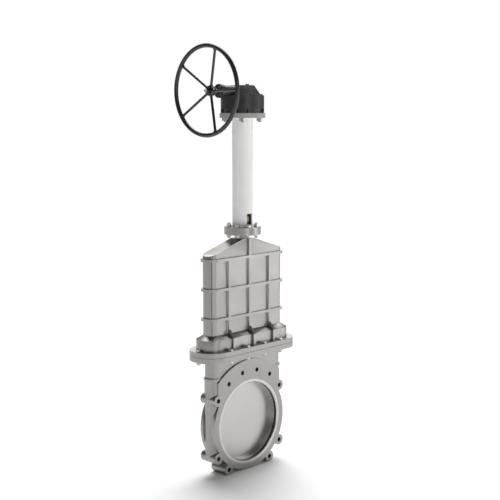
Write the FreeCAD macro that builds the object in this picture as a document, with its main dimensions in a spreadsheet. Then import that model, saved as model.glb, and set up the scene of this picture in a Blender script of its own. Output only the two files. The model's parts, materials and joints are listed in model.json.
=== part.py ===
import FreeCAD, Part

# Bonneted knife gate valve, DN 350 PN 10, with a pillar and a bevel gear operator.
#
# Frame: the stem axis is the Z axis, the pipe runs along Y, and z = 0 is the ground that the two
# lowest lugs stand on. Every sub-part is modelled about the centre of the bore, and its Placement
# lifts it by the height of the bore above the ground.
#
# The gate is modelled closed. A bevel pinion on the handwheel shaft turns a bevel wheel on a
# non-rising left-hand spindle, and a nut on that spindle lifts a hollow rod, which lifts the gate.

import math
import os
import re

import Sketcher

SIZES = [
    # body
    ("bore_dia", 350.0, "clear bore"),
    ("face_to_face", 88.0, "length along the pipe"),
    ("ring_dia", 430.0, "raised sealing face"),
    ("drum_dia", 420.0, "body between the two sealing faces"),
    ("ring_thick", 16.0, "depth of each raised face ring"),
    ("bolt_circle", 460.0, "pipe flange bolts"),
    ("bolt_count", 16, "places on the bolt circle"),
    ("thread_dia", 20.0, "pipe flange bolts"),
    ("thread_depth", 24.0, "blind holes"),
    ("lug_radius", 24.0, "boss round a pipe bolt"),
    ("pad_radius", 280.0, "outer edge of the raised pad round the upper bolt holes"),
    ("pad_thick", 18.0, "depth of that pad"),
    ("chest_width", 430.0, "box above the bore"),
    ("chest_depth", 72.0, "box above the bore"),
    ("chest_corner", 34.0, "corner radius of the box"),
    ("chest_rib_height", 220.0, "bead round the box, above the bore centre"),
    ("slot_radius", 193.0, "half width of the gate's slot and radius of its bottom"),
    ("slot_depth", 28.0, "gate's slot along the pipe"),
    # seats
    ("seat_outer_dia", 376.0, "counterbore for the seat rings"),
    ("seat_nose_dia", 366.0, "part of a seat ring that reaches the gate"),
    ("seat_web", 4.0, "wall between the counterbore and the slot"),
    ("seat_flange", 10.0, "thickness of a seat ring in its counterbore"),
    ("retainer_thick", 5.0, "ring that holds the seat in"),
    # gate
    ("gate_thick", 12.0, "gate plate"),
    ("gate_radius", 185.5, "half width of the gate and radius of its bottom"),
    ("gate_top", 376.0, "above the bore centre, closed"),
    ("gate_gap", 0.3, "running gap between gate and seats"),
    ("clevis_cheek", 8.0, "each cheek of the fork on the gate's top edge"),
    ("clevis_bolt_dia", 12.0, "bolts through that fork"),
    ("clevis_bolt_out", 24.0, "those bolts from the stem axis"),
    ("clevis_bolt_drop", 18.0, "those bolts below the gate's top edge"),
    ("rod_socket", 32.0, "depth of the lifting rod in the fork"),
    ("guide_gap", 0.5, "running gap between gate and guides"),
    ("stroke_length", 365.0, "gate travel"),
    # joint between body and bonnet
    ("joint_height", 327.0, "underside of the gasket above the bore centre"),
    ("gasket_thick", 1.5, "bonnet gasket"),
    ("flange_width", 564.0, "joint flange"),
    ("flange_depth", 188.0, "joint flange"),
    ("flange_corner", 90.0, "corner radius of the joint flange"),
    ("flange_thick", 22.0, "each half of the joint flange"),
    ("joint_bolt_dia", 12.0, "bonnet bolts"),
    ("joint_bolt_pitch", 103.0, "along the flange"),
    ("joint_bolt_line", 164.0, "between the two rows of bonnet bolts"),
    ("joint_bolt_end", 530.0, "between the two end bolts"),
    ("joint_hole_dia", 14.0, "clearance holes for the bonnet bolts"),
    # bonnet
    ("wall_thick", 8.0, "casting wall"),
    ("skirt_width", 506.0, "foot of the bonnet"),
    ("skirt_depth", 129.0, "foot of the bonnet"),
    ("skirt_corner", 60.0, "corner radius of the foot"),
    ("skirt_top", 395.0, "above the bore centre"),
    ("shoulder_top", 412.0, "above the bore centre"),
    ("bonnet_width", 442.0, "upright box of the bonnet"),
    ("bonnet_depth", 72.0, "upright box of the bonnet"),
    ("bonnet_corner", 30.0, "corner radius of the box"),
    ("eave_height", 752.0, "top of the narrow sides above the bore centre"),
    ("ridge_height", 812.0, "top of the gable at the neck"),
    ("bead_height", 12.0, "horizontal ribs"),
    ("bead_out", 9.5, "how far the ribs stand out"),
    ("bead_low", 480.0, "lowest horizontal rib"),
    ("bead_pitch", 127.0, "between the horizontal ribs"),
    ("rib_pitch", 124.0, "between the upright ribs"),
    ("rib_foot", 20.0, "width of an upright rib at the wall"),
    ("rib_crest", 10.0, "width of an upright rib at its crest"),
    ("gusset_thick", 12.0, "ribs over the shoulder"),
    # neck and stuffing box
    ("neck_dia", 70.0, "neck"),
    ("neck_flange_dia", 160.0, "both flanges of the neck joint"),
    ("neck_flange_low", 830.0, "underside of the neck flange"),
    ("neck_top", 848.0, "joint with the pillar"),
    ("neck_bolt_circle", 128.0, "pillar bolts"),
    ("neck_bolt_dia", 12.0, "pillar bolts"),
    ("neck_hole_dia", 13.5, "clearance holes for the pillar bolts"),
    ("rod_dia", 42.0, "lifting rod"),
    ("rod_bore", 30.0, "lifting rod"),
    ("rod_gap", 0.05, "running clearance of the rod"),
    ("box_dia", 55.0, "stuffing box"),
    ("box_floor", 811.0, "bottom of the stuffing box"),
    ("bush_low", 797.0, "bottom of the rod's guide bush"),
    ("packing_size", 6.4, "square packing cord"),
    ("gland_stud_dia", 6.0, "gland studs"),
    ("gland_stud_out", 33.0, "gland studs from the stem axis"),
    ("gland_thick", 7.0, "flange of the gland follower"),
    ("gland_rise", 4.0, "underside of that flange above the neck"),
    # pillar
    ("foot_thick", 15.0, "pillar foot flange"),
    ("pillar_dia", 88.9, "pillar tube"),
    ("pillar_wall", 5.0, "pillar tube"),
    ("tube_step", 5.0, "height of the tube's lower end in its foot flange"),
    ("pillar_top", 1329.0, "underside of the head plate"),
    ("window_width", 30.0, "opening at the foot of the pillar"),
    ("window_low", 872.0, "bottom of that opening"),
    ("window_tall", 48.0, "height of that opening"),
    ("plate_dia", 196.0, "head plate"),
    ("plate_thick", 21.0, "head plate"),
    ("operator_bolt_circle", 148.0, "bolts between head plate and gear operator"),
    ("operator_bolt_dia", 16.0, "bolts between head plate and gear operator"),
    ("operator_hole_dia", 18.0, "clearance holes for those bolts"),
    # gear operator
    ("housing_dia", 186.0, "gear housing"),
    ("housing_wall", 10.0, "gear housing"),
    ("housing_floor", 12.0, "gear housing"),
    ("housing_top", 1416.0, "joint between housing and cover"),
    ("foot_gap_tall", 18.0, "gaps between the feet of the gear housing"),
    ("foot_gap_radius", 84.0, "wall behind those gaps"),
    ("cover_base_dia", 160.0, "foot of the sloping part of the cover"),
    ("cover_crown_dia", 100.0, "flat top of the cover"),
    ("cover_rim", 8.0, "thickness of the cover's flange"),
    ("cover_top", 1467.0, "top of the cover"),
    ("cover_wall", 4.0, "cover"),
    ("cover_screw_circle", 176.0, "cover screws"),
    ("cover_screw_dia", 5.0, "cover screws"),
    ("cover_gasket_thick", 0.8, "gasket between housing and cover"),
    ("plug_out", 30.0, "oil plug from the stem axis"),
    ("plug_dia", 10.0, "thread of the oil plug"),
    ("pinion_height", 1441.0, "axis of the handwheel shaft"),
    ("pinion_tube_dia", 48.0, "arm of the cover that holds the shaft's bushes"),
    ("pinion_tube_end", 134.0, "end of that arm from the stem axis"),
    ("end_cap_dia", 58.0, "cap on the end of the arm"),
    ("end_cap_thick", 9.0, "cap on the end of the arm"),
    ("cap_screw_circle", 44.0, "screws of that cap"),
    ("cap_screw_dia", 4.0, "screws of that cap"),
    ("shaft_bush_dia", 36.0, "outside of the bushes in the arm"),
    ("shaft_seal_dia", 28.0, "outside of the seal in the cap"),
    ("shaft_dia", 20.0, "handwheel shaft"),
    ("gear_module", 2.5, "bevel gears, at their large end"),
    ("pinion_teeth", 15, "bevel pinion"),
    ("wheel_teeth", 45, "bevel wheel"),
    ("tooth_face", 18.0, "length of the teeth"),
    ("tooth_backlash", 0.25, "taken off the thickness of each tooth"),
    ("wheel_hub_tall", 44.0, "hub of the bevel wheel, between its thrust bearings"),
    # spindle
    ("spindle_dia", 28.0, "trapezoidal thread, modelled as a plain bar"),
    ("spindle_low", 882.0, "lower end of the spindle"),
    ("key_long", 32.0, "key between spindle and bevel wheel"),
    ("nut_low", 884.0, "underside of the travelling nut, closed"),
    ("nut_tall", 44.0, "travelling nut"),
    ("nut_dia", 66.0, "travelling nut"),
    ("nut_seat", 14.0, "depth of the rod's end in the nut"),
    ("top_bush_dia", 32.0, "outside of the bush at the top of the spindle"),
    ("spindle_tip_dia", 22.0, "top end of the spindle"),
    ("race_dia", 66.0, "thrust bearings"),
    ("race_bore", 40.0, "thrust bearings"),
    ("race_thick", 3.0, "thrust bearings"),
    ("ball_dia", 8.0, "thrust bearings"),
    ("ball_gap", 0.1, "above and below each ball"),
    # handwheel
    ("rim_dia", 367.0, "centre line of the rim"),
    ("rim_section", 18.0, "rim bar"),
    ("rim_out", 214.0, "plane of the rim from the stem axis"),
    ("hub_out", 187.0, "middle of the hub from the stem axis"),
    ("hub_dia", 42.0, "hub"),
    ("hub_long", 26.0, "hub"),
    ("spoke_dia", 11.0, "spokes"),
    ("spoke_count", 5, "spokes"),
]

V = FreeCAD.Vector
STEM_AXIS = V(0, 0, 1)
SHAFT_AXIS = V(-1, 0, 0)
ORIGIN = V(0, 0, 0)

doc = FreeCAD.newDocument("KnifeGateValve")
sheet = doc.addObject("Spreadsheet::Sheet", "Sizes")
for row, (alias, number, meaning) in enumerate(SIZES, start=1):
    sheet.set(f"A{row}", meaning)
    sheet.set(f"B{row}", str(number))
    sheet.setAlias(f"B{row}", alias)
doc.recompute()

ALIASES = {alias for alias, number, meaning in SIZES}
RISE = "bolt_circle / 2 * sin(56.25) + lug_radius"
sub_parts = []


# ---------------------------------------------------------------- sheet, sketch and feature helpers


def bound(text):
    """An expression on the sheet: every alias in the text becomes a reference to its cell."""

    def reference(word):
        return f"Sizes.{word.group(0)}" if word.group(0) in ALIASES else word.group(0)

    return re.sub(r"[a-z_]+", reference, str(text))


def value(text):
    """The number that an expression on the sheet has now."""
    return float(sheet.evalExpression(bound(text)))


def add_part(feature, label):
    feature.Label = label
    sub_parts.append(feature)
    return feature


def new_body(label):
    return add_part(doc.addObject("PartDesign::Body", label), label)


def coded_part(label, shape):
    """A sub-part whose shape is worked out in code from the sheet's numbers."""
    feature = doc.addObject("Part::Feature", label)
    # the solids keep their own places, so that the feature's Placement stays free
    feature.Shape = Part.makeCompound(shape.Solids)
    return add_part(feature, label)


def new_sketch(body, role, shift=(0, 0, 0)):
    """A sketch on an origin plane of the body, shifted in its own x, y and normal directions."""
    plane = next(item for item in body.Origin.OriginFeatures if item.Role == role)
    sketch = body.newObject("Sketcher::SketchObject", "Sketch")
    sketch.AttachmentSupport = [(plane, "")]
    sketch.MapMode = "FlatFace"
    for direction, text in zip("xyz", shift):
        if text != 0:
            sketch.setExpression(f".AttachmentOffset.Base.{direction}", bound(text))
    return sketch


def constrain(sketch, kind, references, text):
    """Adds a dimension and binds it to the sheet."""
    number = sketch.addConstraint(Sketcher.Constraint(kind, *references, value(text)))
    if bound(text) != str(text):
        sketch.setExpression(f"Constraints[{number}]", bound(text))


def arc_between(start, end, radius):
    """Arc from start to end, with its centre on the left of the way for a positive radius."""
    chord = end - start
    half = chord.Length / 2
    left = V(-chord.y, chord.x, 0).normalize() * math.copysign(1, radius)
    centre = (start + end) / 2 + left * math.sqrt(radius**2 - half**2)
    circle = Part.Circle(centre, STEM_AXIS, abs(radius))
    first = math.atan2(start.y - centre.y, start.x - centre.x)
    last = math.atan2(end.y - centre.y, end.x - centre.x)
    if radius < 0:
        first, last = last, first
    return Part.ArcOfCircle(circle, first, last)


def add_outline(sketch, corners):
    """A closed outline. A corner (x, y) is reached along a line, and (x, y, radius) along an arc."""
    places = [V(value(corner[0]), value(corner[1]), 0) for corner in corners]
    tails = []
    heads = []
    for index, corner in enumerate(corners):
        start = places[index - 1]
        end = places[index]
        if len(corner) == 2:
            edge = sketch.addGeometry(Part.LineSegment(start, end), False)
            tails.append((edge, 1))
            heads.append((edge, 2))
            continue
        radius = value(corner[2])
        edge = sketch.addGeometry(arc_between(start, end, radius), False)
        tails.append((edge, 1 if radius > 0 else 2))
        heads.append((edge, 2 if radius > 0 else 1))
    for index, corner in enumerate(corners):
        following = tails[(index + 1) % len(corners)]
        sketch.addConstraint(Sketcher.Constraint("Coincident", *heads[index], *following))
        constrain(sketch, "DistanceX", (-1, 1, *heads[index]), corner[0])
        constrain(sketch, "DistanceY", (-1, 1, *heads[index]), corner[1])
        if len(corner) == 3:
            constrain(sketch, "Radius", (heads[index][0],), f"abs({corner[2]})")


def add_circle(sketch, x, y, radius):
    place = V(value(x), value(y), 0)
    edge = sketch.addGeometry(Part.Circle(place, STEM_AXIS, value(radius)), False)
    constrain(sketch, "DistanceX", (-1, 1, edge, 3), x)
    constrain(sketch, "DistanceY", (-1, 1, edge, 3), y)
    constrain(sketch, "Radius", (edge,), radius)


def rounded_rectangle(width, depth, corner):
    """Corners of a rectangle with round corners, centred on the origin, from its full sizes."""
    x, y, r = f"({width}) / 2", f"({depth}) / 2", f"({corner})"
    return [
        (f"{x} - {r}", f"-{y}"),
        (x, f"{r} - {y}", r),
        (x, f"{y} - {r}"),
        (f"{x} - {r}", y, r),
        (f"{r} - {x}", y),
        (f"-{x}", f"{y} - {r}", r),
        (f"-{x}", f"{r} - {y}"),
        (f"{r} - {x}", f"-{y}", r),
    ]


def rectangle(left, right, low, high):
    return [(right, low), (right, high), (left, high), (left, low)]


def extrude(body, kind, sketch, length, symmetric=False, reverse=False):
    """A Pad or a Pocket. A symmetric one has the length in all, half of it on each side."""
    feature = body.newObject(f"PartDesign::{kind}", kind)
    feature.Profile = sketch
    feature.SideType = "Symmetric" if symmetric else "One side"
    feature.Reversed = reverse
    feature.setExpression("Length", bound(length))
    return feature


def pad_outline(body, role, corners, length, shift=(0, 0, 0), symmetric=False, reverse=False):
    sketch = new_sketch(body, role, shift)
    add_outline(sketch, corners)
    return extrude(body, "Pad", sketch, length, symmetric, reverse)


def pad_circles(body, role, circles, length, shift=(0, 0, 0), symmetric=False, reverse=False):
    sketch = new_sketch(body, role, shift)
    for circle in circles:
        add_circle(sketch, *circle)
    return extrude(body, "Pad", sketch, length, symmetric, reverse)


def cut_outline(body, role, corners, length, shift=(0, 0, 0), symmetric=False, reverse=False):
    sketch = new_sketch(body, role, shift)
    add_outline(sketch, corners)
    return extrude(body, "Pocket", sketch, length, symmetric, reverse)


def cut_circles(body, role, circles, length, shift=(0, 0, 0), symmetric=False, reverse=False):
    sketch = new_sketch(body, role, shift)
    for circle in circles:
        add_circle(sketch, *circle)
    return extrude(body, "Pocket", sketch, length, symmetric, reverse)


def revolve(body, sketch, sketch_axis, kind="Revolution"):
    """A full turn of a sketch about one of its own axes, added or, as a Groove, taken away."""
    feature = body.newObject(f"PartDesign::{kind}", kind)
    feature.Profile = sketch
    feature.ReferenceAxis = (sketch, [sketch_axis])
    feature.Angle = 360
    return feature


def turn(body, corners, axis="Z", shift="0", kind="Revolution"):
    """Turns an outline of (radius, along) corners about the stem, or (along, radius) about X or Y."""
    role = {"Z": "XZ_Plane", "X": "XZ_Plane", "Y": "YZ_Plane"}[axis]
    sketch = new_sketch(body, role, (0, shift, 0))
    add_outline(sketch, corners)
    return revolve(body, sketch, "V_Axis" if axis == "Z" else "H_Axis", kind)


def turned(label, corners, axis="Z", shift="0"):
    body = new_body(label)
    turn(body, corners, axis, shift)
    return body


def ring(label, inner, outer, low, high):
    """A plain ring about the stem axis, from its diameters and its two heights."""
    inner, outer = f"({inner}) / 2", f"({outer}) / 2"
    return turned(label, [(outer, low), (outer, high), (inner, high), (inner, low)])


def shaft_ring(label, inner, outer, near, far):
    """A plain ring about the handwheel shaft, from its diameters and its distances from the stem."""
    corners = [(f"-({near})", f"({outer}) / 2"), (f"-({far})", f"({outer}) / 2")]
    corners += [(f"-({far})", f"({inner}) / 2"), (f"-({near})", f"({inner}) / 2")]
    return turned(label, corners, "X", "pinion_height")


# ---------------------------------------------------------------- places and fasteners


def around(diameter, angles):
    """Places on a circle about the origin, as (x, y) vectors in a plane."""
    radius = value(diameter) / 2
    return [V(radius * math.cos(math.radians(a)), radius * math.sin(math.radians(a)), 0) for a in angles]


def on_circle(diameter, angle, radius):
    """A circle for a sketch, with its centre on a bolt circle."""
    return (f"{diameter} / 2 * cos({angle})", f"{diameter} / 2 * sin({angle})", radius)


def circles_on(diameter, angles, radius):
    """Equal circles for a sketch, with their centres on a bolt circle."""
    return [on_circle(diameter, angle, radius) for angle in angles]


def even_angles(count, first):
    return [first + 360 * step / count for step in range(count)]


def hexagon(across_flats, low, tall):
    corner = across_flats / math.sqrt(3)
    points = [V(corner * math.cos(math.radians(a)), corner * math.sin(math.radians(a)),
                low) for a in range(0, 361, 60)]
    bar = Part.Face(Part.makePolygon(points)).extrude(V(0, 0, tall))
    # the corners are turned off at 30 degrees on the outer face
    dome = Part.makeCone(corner + tall * 1.5, corner * 0.94, tall, V(0, 0, low), STEM_AXIS)
    return bar.common(dome)


STUD_CHAMFER = 0.8
STUD_TIP = 5.0
NUT_TALL = 0.8


def hex_bolt(size, length):
    """A hexagon bolt along Z, with the underside of its head at z = 0 and its point below."""
    head = hexagon(1.55 * size, 0, 0.65 * size)
    shank = Part.makeCylinder(size / 2, length, V(0, 0, -length), STEM_AXIS)
    return head.fuse(shank).removeSplitter()


def hex_nut(size):
    """A nut from z = 0 upwards, whose bore just clears the bolt."""
    bore = Part.makeCylinder(size / 2 + 0.05, size * 2, V(0, 0, -size / 2), STEM_AXIS)
    return hexagon(1.55 * size, 0, NUT_TALL * size).cut(bore)


def stud(size, low, high):
    """A threaded bar along Z with chamfered ends."""
    bar = Part.makeCylinder(size / 2, high - low, V(0, 0, low), STEM_AXIS)
    ends = [edge for edge in bar.Edges if isinstance(edge.Curve, Part.Circle)]
    return bar.makeChamfer(STUD_CHAMFER, ends)


def cap_screw(size, length):
    """A socket head screw along Z, with the underside of its head at z = 0."""
    head = Part.makeCylinder(0.75 * size, size, ORIGIN, STEM_AXIS)
    socket = hexagon(0.8 * size, 0.5 * size, size)
    shank = Part.makeCylinder(size / 2, length, V(0, 0, -length), STEM_AXIS)
    return head.fuse(shank).cut(socket).removeSplitter()


def placed(shape, place, direction=STEM_AXIS):
    """A copy of a shape, turned from Z to the direction and moved to the place."""
    copy = shape.copy()
    copy.Placement = FreeCAD.Placement(place, FreeCAD.Rotation(STEM_AXIS, direction))
    return copy


def group(label, shape, places, direction=STEM_AXIS):
    """Identical separate pieces in one sub-part."""
    return coded_part(label, Part.makeCompound([placed(shape, place, direction) for place in places]))


# ---------------------------------------------------------------- body

NECK_BOLT_ANGLES = even_angles(8, 22.5)
OPERATOR_BOLT_ANGLES = even_angles(4, 45)
BLIND_ANGLES = (33.75, 56.25, 78.75, 101.25, 123.75, 146.25)
THROUGH_ANGLES = (-33.75, -56.25, -123.75, -146.25)
LUG_ANGLES = (33.75, 146.25) + THROUGH_ANGLES
LUG_LINE = "bolt_circle / 2 * sin(33.75)"


def joint_bolt_places(height):
    """Bonnet bolts: four along each long side and one at the middle of each end."""
    pitch, line, end = value("joint_bolt_pitch"), value("joint_bolt_line"), value("joint_bolt_end")
    rows = [V(pitch * step, side * line / 2, height) for side in (-1, 1) for step in (-1.5, -0.5, 0.5,
                                                                                      1.5)]
    return rows + [V(-end / 2, 0, height), V(end / 2, 0, height)]


def joint_bolt_circles(radius):
    rows = []
    for side in ("-", ""):
        rows += [(f"joint_bolt_pitch * {step}", f"{side}joint_bolt_line / 2",
                  radius) for step in (-1.5, -0.5, 0.5, 1.5)]
    return rows + [("-joint_bolt_end / 2", "0", radius), ("joint_bolt_end / 2", "0", radius)]


def slot_outline(radius, top):
    """Straight sides with a half round bottom, as two quarter arcs."""
    left, bottom = f"-({radius})", f"-({radius})"
    return [(radius, top), (left, top), (left, "0"), ("0", bottom, radius), (radius, "0", radius)]


def body_casting():
    body = new_body("body_casting")
    chest = rounded_rectangle("chest_width", "chest_depth", "chest_corner")
    flange_low = "joint_height - flange_thick"
    pad_outline(body, "XY_Plane", chest, f"{flange_low} + {LUG_LINE}", (0, 0, f"-{LUG_LINE}"))
    pad_circles(body, "XZ_Plane", [("0", "0", "drum_dia / 2")], "face_to_face - ring_thick",
                symmetric=True)
    # raised pads round the upper bolt holes, bounded by an arch about the bore
    edge = "(bolt_circle / 2 * cos(33.75))"
    shoulder = f"sqrt(pad_radius ^ 2 - {edge} ^ 2)"
    arch = [(edge, LUG_LINE), (edge, shoulder), ("0", "pad_radius", "pad_radius")]
    arch += [(f"-{edge}", shoulder, "pad_radius"), (f"-{edge}", LUG_LINE)]
    face = "face_to_face / 2"
    for sign, outwards in (("", False), ("-", True)):
        pad_circles(body, "XZ_Plane", [("0", "0", "ring_dia / 2")], "ring_thick",
                    (0, 0, f"{sign}({face} - ring_thick)"),
                    reverse=outwards)
        pad_outline(body, "XZ_Plane", arch, "pad_thick", (0, 0, f"{sign}({face} - pad_thick)"),
                    reverse=outwards)
    lugs = circles_on("bolt_circle", LUG_ANGLES, "lug_radius")
    pad_circles(body, "XZ_Plane", lugs, "face_to_face", symmetric=True)
    bead = rounded_rectangle("chest_width + 16", "chest_depth + 8", "chest_corner + 5")
    pad_outline(body, "XY_Plane", bead, "8", (0, 0, "chest_rib_height - 4"))
    flange = rounded_rectangle("flange_width", "flange_depth", "flange_corner")
    pad_outline(body, "XY_Plane", flange, "flange_thick", (0, 0, flange_low))
    # slot for the gate, bore, counterbores for the seats
    cut_outline(body, "XZ_Plane", slot_outline("slot_radius", "joint_height + 1"), "slot_depth",
                symmetric=True)
    cut_circles(body, "XZ_Plane", [("0", "0", "seat_nose_dia / 2")], "face_to_face + 2", symmetric=True)
    seat_deep = f"{face} - slot_depth / 2 - seat_web"
    blind = circles_on("bolt_circle", BLIND_ANGLES, "thread_dia / 2")
    for outside, inwards in ((face, False), (f"-{face}", True)):
        cut_circles(body, "XZ_Plane", [("0", "0", "seat_outer_dia / 2")], seat_deep, (0, 0, outside),
                    reverse=inwards)
        cut_circles(body, "XZ_Plane", blind, "thread_depth", (0, 0, outside), reverse=inwards)
    through = circles_on("bolt_circle", THROUGH_ANGLES, "thread_dia / 2")
    cut_circles(body, "XZ_Plane", through, "face_to_face + 2", symmetric=True)
    bolts = joint_bolt_circles("joint_hole_dia / 2")
    cut_circles(body, "XY_Plane", bolts, "flange_thick + 1", (0, 0, "joint_height + 0.5"))
    return body


def seat(side, name):
    """The three rings in one counterbore, from the gate outwards: seat, rubber seal, retainer."""
    near, nose = f"{side} * (gate_thick / 2 + gate_gap)", f"{side} * (slot_depth / 2 + seat_web)"
    back = f"{side} * (slot_depth / 2 + seat_web + seat_flange)"
    lip, face = f"{side} * (face_to_face / 2 - retainer_thick)", f"{side} * face_to_face / 2"
    bore, outer = "bore_dia / 2", "seat_outer_dia / 2"
    corners = [(near, bore), (near, "seat_nose_dia / 2"), (nose, "seat_nose_dia / 2")]
    corners += [(nose, outer), (back, outer), (back, bore)]
    turned(f"{name}_seat_ring", corners, "Y")
    turned(f"{name}_seat_seal", [(back, bore), (back, outer), (lip, outer), (lip, bore)], "Y")
    chamfer = f"({lip} + {side} * (retainer_thick - 2))"
    corners = [(lip, bore), (lip, outer), (face, outer), (face, f"{bore} + 2"), (chamfer, bore)]
    turned(f"{name}_seat_retainer", corners, "Y")


def gate_guides():
    """Two low friction strips that keep the gate off the long walls of the slot."""
    strip_low, strip_high = value("0"), value("joint_height - 4")
    inner, outer = value("gate_radius + guide_gap"), value("slot_radius")
    deep = value("slot_depth")
    strip = Part.makeBox(outer - inner, deep, strip_high - strip_low, V(inner, -deep / 2, strip_low))
    other = strip.mirror(ORIGIN, V(1, 0, 0))
    return coded_part("gate_guides", Part.makeCompound([strip, other]))


# ---------------------------------------------------------------- bonnet


def bonnet_gasket():
    body = new_body("bonnet_gasket")
    outline = rounded_rectangle("flange_width - 6", "flange_depth - 6", "flange_corner - 3")
    pad_outline(body, "XY_Plane", outline, "gasket_thick", (0, 0, "joint_height"))
    opening = rounded_rectangle("skirt_width - 2 * wall_thick", "skirt_depth - 2 * wall_thick",
                                "skirt_corner - wall_thick")
    cut_outline(body, "XY_Plane", opening, "gasket_thick + 2", (0, 0, "joint_height + gasket_thick + 1"))
    cut_circles(body, "XY_Plane", joint_bolt_circles("joint_hole_dia / 2"), "gasket_thick + 2",
                (0, 0, "joint_height + gasket_thick + 1"))
    return body


def gable(half_width, eave, ridge, low):
    """House shaped outline in the plane of the stem and the X axis."""
    return [(half_width, low), (half_width, eave), ("neck_dia / 2", ridge),
            ("-neck_dia / 2", ridge), (f"-({half_width})", eave), (f"-({half_width})", low)]


def bonnet_casting():
    body = new_body("bonnet_casting")
    bottom = "joint_height + gasket_thick"
    flange_top = "joint_height + flange_thick"
    flange = rounded_rectangle("flange_width", "flange_depth", "flange_corner")
    pad_outline(body, "XY_Plane", flange, "flange_thick - gasket_thick", (0, 0, bottom))
    skirt = rounded_rectangle("skirt_width", "skirt_depth", "skirt_corner")
    pad_outline(body, "XY_Plane", skirt, f"skirt_top - ({flange_top})", (0, 0, flange_top))
    foot = new_sketch(body, "XY_Plane", (0, 0, "skirt_top"))
    add_outline(foot, skirt)
    head = new_sketch(body, "XY_Plane", (0, 0, "shoulder_top"))
    box = rounded_rectangle("bonnet_width", "bonnet_depth", "bonnet_corner")
    add_outline(head, box)
    shoulder = body.newObject("PartDesign::AdditiveLoft", "Shoulder")
    shoulder.Profile = foot
    shoulder.Sections = [head]
    shoulder.Ruled = True
    pad_outline(body, "XY_Plane", box, "ridge_height - shoulder_top", (0, 0, "shoulder_top"))
    # the roof falls from the neck to the narrow sides
    for side in ("", "-"):
        corners = [(f"{side}neck_dia / 2", "ridge_height"),
                   (f"{side}(bonnet_width / 2 + 1)", "eave_height")]
        corners += [(f"{side}(bonnet_width / 2 + 1)", "ridge_height + 2"),
                    (f"{side}neck_dia / 2", "ridge_height + 2")]
        cut_outline(body, "XZ_Plane", corners, "bonnet_depth + 2", symmetric=True)
    for step in range(3):
        bead = rounded_rectangle("bonnet_width + 2 * bead_out", "bonnet_depth + 2 * bead_out",
                                 "bonnet_corner + bead_out")
        pad_outline(body, "XY_Plane", bead, "bead_height",
                    (0, 0, f"bead_low + {step} * bead_pitch - bead_height / 2"))
    # upright ribs: only the middle one goes on above the top bead, up to the neck
    for step, top in ((-1, "bead_low + 2 * bead_pitch"), (0, "ridge_height"),
                      (1, "bead_low + 2 * bead_pitch")):
        for side in ("-", ""):
            wall, crest = f"{side}(bonnet_depth / 2 - 1)", f"{side}(bonnet_depth / 2 + bead_out)"
            middle = f"{step} * rib_pitch"
            corners = [(f"{middle} - rib_foot / 2", wall), (f"{middle} - rib_crest / 2", crest),
                       (f"{middle} + rib_crest / 2", crest), (f"{middle} + rib_foot / 2", wall)]
            pad_outline(body, "XY_Plane", corners, f"{top} - shoulder_top", (0, 0, "shoulder_top"))
        wall, crest = "(bonnet_depth / 2 + bead_out)", "(skirt_depth / 2 + bead_out)"
        outline = [(f"-{crest}", flange_top), (crest, flange_top), (crest, "skirt_top + 2"),
                   (wall, "shoulder_top + 18"),
                   (f"-{wall}", "shoulder_top + 18"), (f"-{crest}", "skirt_top + 2")]
        pad_outline(body, "YZ_Plane", outline, "gusset_thick", (0, 0, f"{step} * rib_pitch"),
                    symmetric=True)
    pad_circles(body, "XY_Plane", [("0", "0", "neck_dia / 2")], "neck_top - ridge_height + 20",
                (0, 0, "ridge_height - 20"))
    pad_circles(body, "XY_Plane", [("0", "0", "neck_flange_dia / 2")], "neck_top - neck_flange_low",
                (0, 0, "neck_flange_low"))
    # inside: wide foot, upright chamber under the roof, stuffing box
    opening = rounded_rectangle("skirt_width - 2 * wall_thick", "skirt_depth - 2 * wall_thick",
                                "skirt_corner - wall_thick")
    cut_outline(body, "XY_Plane", opening, f"skirt_top - wall_thick - {bottom} + 1",
                (0, 0, "skirt_top - wall_thick"))
    chamber = gable("bonnet_width / 2 - wall_thick", "eave_height - 1.2 * wall_thick",
                    "ridge_height - 1.2 * wall_thick",
                    "skirt_top - wall_thick - 1")
    cut_outline(body, "XZ_Plane", chamber, "bonnet_depth - 2 * wall_thick", symmetric=True)
    stuffing = [("box_dia / 2", "neck_top + 1"), ("0", "neck_top + 1"),
                ("0", "ridge_height - 1.2 * wall_thick - 1")]
    stuffing += [("rod_dia / 2 + 2", "ridge_height - 1.2 * wall_thick - 1"),
                 ("rod_dia / 2 + 2", "bush_low + 5")]
    stuffing += [("rod_dia / 2 + 5", "bush_low + 5"), ("rod_dia / 2 + 5", "box_floor"),
                 ("box_dia / 2", "box_floor")]
    turn(body, stuffing, kind="Groove")
    cut_circles(body, "XY_Plane", joint_bolt_circles("joint_hole_dia / 2"), "flange_thick + 2",
                (0, 0, f"{flange_top} + 1"))
    holes = circles_on("neck_bolt_circle", NECK_BOLT_ANGLES, "neck_hole_dia / 2")
    cut_circles(body, "XY_Plane", holes, "neck_top - neck_flange_low + 2", (0, 0, "neck_top + 1"))
    studs = [(x, "0", "gland_stud_dia / 2") for x in ("-gland_stud_out", "gland_stud_out")]
    cut_circles(body, "XY_Plane", studs, "12", (0, 0, "neck_top"))
    return body


def joint_fasteners():
    """Bonnet bolts with their heads on top and their nuts under the body flange."""
    size, thick = value("joint_bolt_dia"), value("flange_thick")
    top, bottom = value("joint_height + flange_thick"), value("joint_height - flange_thick")
    nut_tall = NUT_TALL * size
    group("bonnet_bolts", hex_bolt(size, 2 * thick + nut_tall + 4), joint_bolt_places(top))
    group("bonnet_nuts", hex_nut(size), joint_bolt_places(bottom - nut_tall))


# ---------------------------------------------------------------- stuffing box

GLAND_RINGS = 4


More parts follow.
